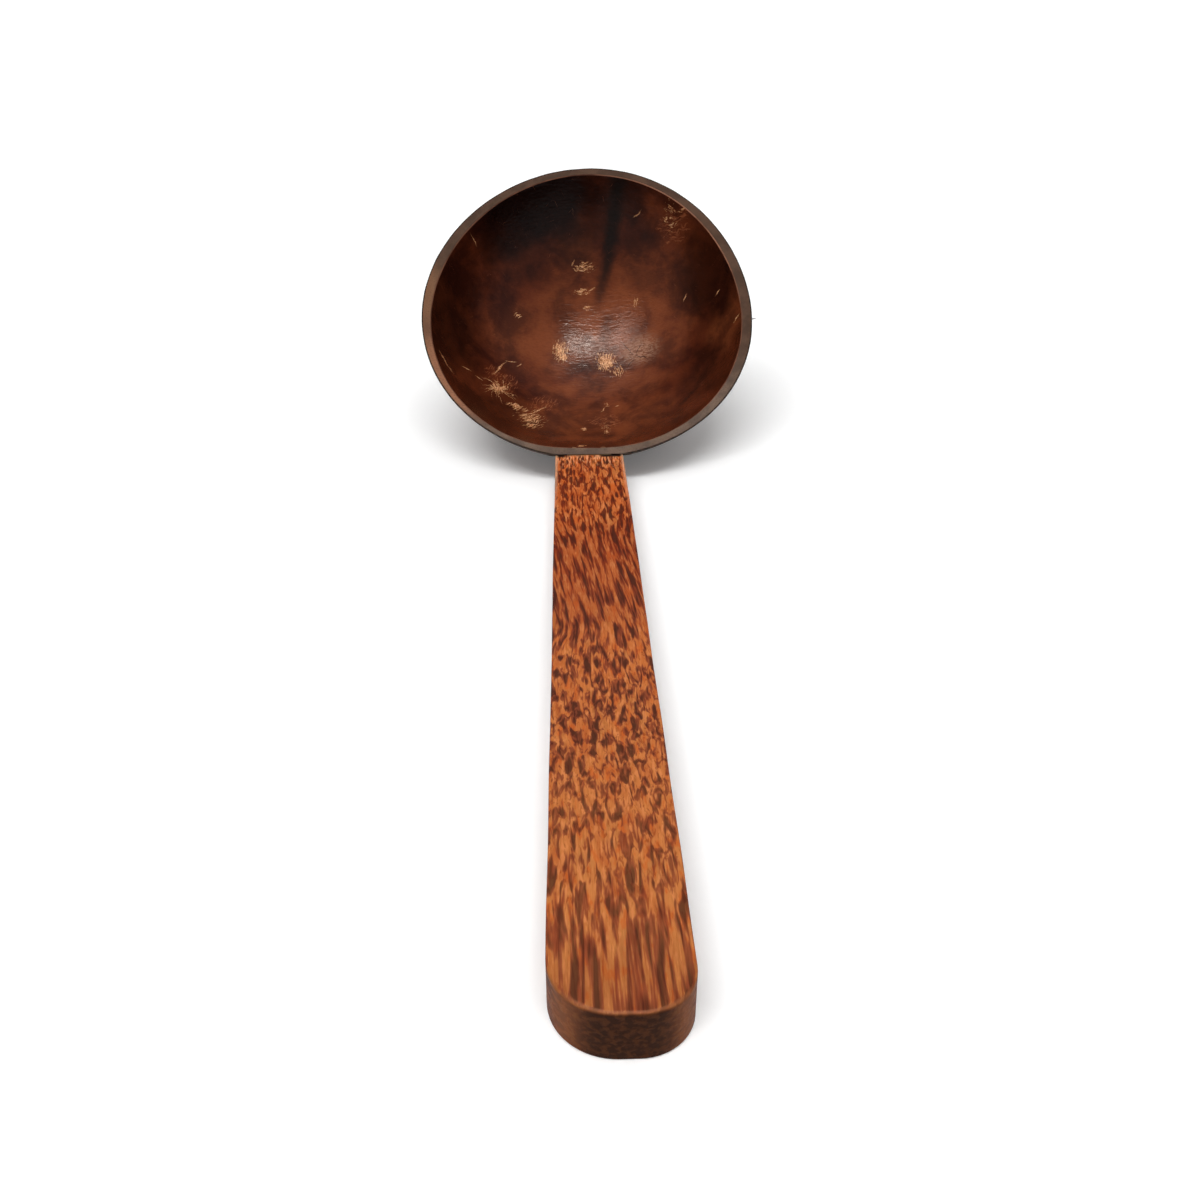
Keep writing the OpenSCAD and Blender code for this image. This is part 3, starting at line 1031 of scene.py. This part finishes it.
for at, size, count in STARS:
    seen = net.frame(at=(*at, 0), scale=(size, size, 1), vector=curly)
    off = net.vector("LENGTH", seen, out="Value")
    towards = net.vector("NORMALIZE", seen)
    ray = net.noise(net.frame(at=(*at, 0), vector=towards), count, detail=1.0)
    core = net.math("POWER", net.even(off, 1.0, 0.0), 3)
    ray = net.math("MULTIPLY_ADD", core, 0.35, ray)
    share = net.math("MULTIPLY", net.soft(ray, 0.58, 0.66), net.soft(off, 1.1, 0.5))
    tufts = net.math("MAXIMUM", tufts, share)
for at, long, turn in STROKES:
    share = net.soft(zone(net, wavy, at, (long, STROKE_THIN), turn), 1.2, 0.3, 0, 0.9)
    tufts = net.math("MAXIMUM", tufts, share)
print("shell inside:", len(STARS), "stars and", len(STROKES), "strokes")

# %% [markdown]
# ## Coconut shell, inside: fuzz, scratches and gloss
#
# Fainter fuzz lies round the tufts, and fine scratches cross the whole bowl. The pale skin goes on last,
# over both. The gloss could be smooth, but scraping left low waves across the bowl that break the shine
# into streaks, so these waves and the fine grain make a bump.

# %% Fuzz, scratches and gloss
FUZZ = (
    ((-13, -15), (9, 6), 45),
    ((5, -24), (10, 6), 0),
    ((-27, -9), (8, 7), 45),
    ((27, 33), (8, 5), 135),
)
FUZZ_TURNS = 20
SCRAPED_DEEP = 0.11 * MM

fuzz = 0.0
for at, size, turn in FUZZ:
    near = net.soft(zone(net, cloudy, at, size, 0), 1.2, 0.4)
    fuzz = net.math("MAXIMUM", fuzz, net.math("MULTIPLY", near, wisps(turn + FUZZ_TURNS, 1.8, 0.3)))
colour = net.mix(net.soft(fuzz, 0.48, 0.66, 0, 0.5), colour, tint(168, 96, 62))
scratch = net.math("MAXIMUM", wisps(25, 5.0, 0.16), wisps(-50, 4.0, 0.16))
colour = net.mix(net.soft(scratch, 0.68, 0.78, 0, 0.35), colour, tint(150, 88, 60))
bleached = net.soft(net.noise(place, 2.6, detail=2.0), 0.35, 0.65)
pale = net.mix(bleached, tint(160, 96, 56), tint(232, 178, 128))
colour = net.mix(net.math("MULTIPLY", tufts, 0.9), colour, pale)
scraped = net.noise(net.frame(scale=(3.2, 0.95, 0.95), vector=place), 1.0, detail=2.0, distortion=0.9)
bowl_mesh.materials.append(
    net.finish(
        Base_Color=colour,
        Roughness=net.soft(fine, 0.3, 0.7, 0.15, 0.24),
        Specular_IOR_Level=0.08,
        Normal=net.bump(net.math("MULTIPLY_ADD", fine, 0.3, scraped), SCRAPED_DEEP, 0.9),
    )
)
print("shell inside:", len(net.tree.nodes), "nodes")

# %% [markdown]
# ## Coconut shell, rim
#
# The sawn rim is dull, grey brown and dry, browner at its far side and warmer at its left. It could share
# the inside's material, but a cut across the fibres takes no polish, so it has one of its own, with specks
# and no shine.

# %% Rim
RIM_ZONES = (
    ((-40, -22), (9, 17), 25, (148, 97, 68)),
    ((-46, 5), (6, 12), 0, (118, 80, 54)),
)
RIM_NEAR, RIM_FAR = -32, -10

net = Net("shell rim")
place = shell_place(net)
_, far, _ = net.split(place)
flat = flattened(net, place, 6, 6)
blotch = net.soft(net.noise(place, 0.16, detail=4.0), 0.38, 0.62)
speck = net.noise(place, 2.2, detail=4.0, roughness=0.7)
far_side = net.mix(blotch, tint(60, 40, 28), tint(78, 54, 40))
near_side = net.mix(blotch, tint(86, 70, 60), tint(108, 87, 73))
colour = net.mix(net.soft(far, RIM_FAR, RIM_NEAR), far_side, near_side)
for at, size, turn, shade in RIM_ZONES:
    colour = net.mix(net.soft(zone(net, flat, at, size, turn), 1.3, 0.4, 0, 0.85), colour, tint(*shade))
colour = net.mix(net.soft(speck, 0.45, 0.7, 0, 0.5), colour, tint(62, 42, 30))
bowl_mesh.materials.append(
    net.finish(
        Base_Color=colour,
        Roughness=0.75,
        Specular_IOR_Level=0.1,
        Normal=net.bump(speck, 0.05 * MM, 0.5),
    )
)
print("shell rim:", len(net.tree.nodes), "nodes")

# %% [markdown]
# ## Coconut shell, outside
#
# The outside is polished, with veins that run from pole to rim like the fibres of the husk that were sanded
# away. A noise drawn out along one axis would run straight across the nut. Read by bearing instead, with
# only a little of the height, the same noise runs up the nut like meridians.

# %% Outside
HEIGHT_COUNTS = 0.012
SKIN_FROM, SKIN_TO = -2.4, -0.6

net = Net("shell outside")
place = shell_place(net)
bearing = net.vector("NORMALIZE", net.vector("MULTIPLY", place, (1, 1, 0)))
meridian = net.vector("ADD", bearing, net.vector("MULTIPLY", place, (0, 0, HEIGHT_COUNTS)))
veins = net.noise(meridian, 26.0, detail=4.0, roughness=0.6)
cloud = net.noise(place, 0.07, detail=5.0)
colour = net.mix(net.soft(cloud, 0.35, 0.65), tint(48, 27, 16), tint(98, 58, 34))
colour = net.mix(net.soft(veins, 0.54, 0.72, 0, 0.7), colour, tint(132, 92, 58))
colour = net.mix(net.soft(veins, 0.45, 0.3, 0, 0.6), colour, tint(30, 17, 12))
_, _, height = net.split(place)
colour = net.mix(net.soft(height, SKIN_FROM, SKIN_TO, 0, 0.8), colour, tint(22, 13, 9))
bowl_mesh.materials.append(
    net.finish(
        Base_Color=colour,
        Roughness=net.soft(veins, 0.3, 0.7, 0.3, 0.45),
        Specular_IOR_Level=0.25,
        Normal=net.bump(veins, 0.08 * MM, 0.6),
    )
)
print("shell outside:", len(net.tree.nodes), "nodes")

# %% [markdown]
# ## Coconut shell, inner edge with painted highlight, and dark skin
#
# Two thin lines go round the rim: its inner edge, with a painted highlight in patches, most at the far
# right where it catches the light, and the nut's dark skin outside. They could be bands of the rim's
# material, but the hollow is out of round and a band would wander off its edge. As faces of their own they
# keep to it.

# %% Inner edge and dark skin
EDGE_PALE = ((30, 30), (24, 20), 0)

net = Net("inner edge highlight")
place = shell_place(net)
# Painted highlight: the inner edge is made pale in patches, most of all at the far right, where it catches
# the light.
glint_patches = net.soft(net.noise(place, 0.12, detail=3.0), 0.3, 0.6)
worn = net.math("MULTIPLY", glint_patches, net.soft(zone(net, place, *EDGE_PALE), 1.4, 0.8, 0.4, 1))
colour = net.mix(worn, tint(66, 34, 21), tint(150, 100, 76))
bowl_mesh.materials.append(net.finish(Base_Color=colour, Roughness=0.6, Specular_IOR_Level=0.1))

net = Net("dark skin")
crumbs = net.noise(shell_place(net), 1.2, detail=3.0)
colour = net.mix(net.soft(crumbs, 0.4, 0.65), tint(24, 16, 11), tint(60, 44, 33))
bowl_mesh.materials.append(net.finish(Base_Color=colour, Roughness=0.7, Specular_IOR_Level=0.05))
print("bowl:", len(bowl_mesh.materials), "materials")

# %% [markdown]
# ## Glue and pins
#
# The glue has dried to a hard amber film, and the pins are small brass nails that oil and steam have
# dulled. They could be modelled again, but hardly anything of them shows. So the CAD solids stay, with a
# finish of their own.


# %% Glue and brass
def refinish(node, material):
    """Gives a CAD solid one new material."""
    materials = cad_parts[node].data.materials
    materials.clear()
    materials.append(material)


net = Net("dried glue")
colour = net.mix(net.noise(net.frame(scale=(MM, MM, MM)), 0.8), tint(214, 180, 132), tint(176, 132, 84))
refinish("glue_bed", net.finish(Base_Color=colour, Roughness=0.35))

net = Net("worn brass")
wear = net.noise(net.frame(scale=(MM, MM, MM)), 1.6, detail=4.0)
colour = net.mix(wear, tint(138, 98, 62), tint(196, 152, 108))
brass = net.finish(Base_Color=colour, Metallic=1.0, Roughness=net.soft(wear, 0.3, 0.7, 0.3, 0.5))
for pin in ("left_pin", "right_pin"):
    refinish(pin, brass)
print("refinished: glue_bed, left_pin, right_pin")
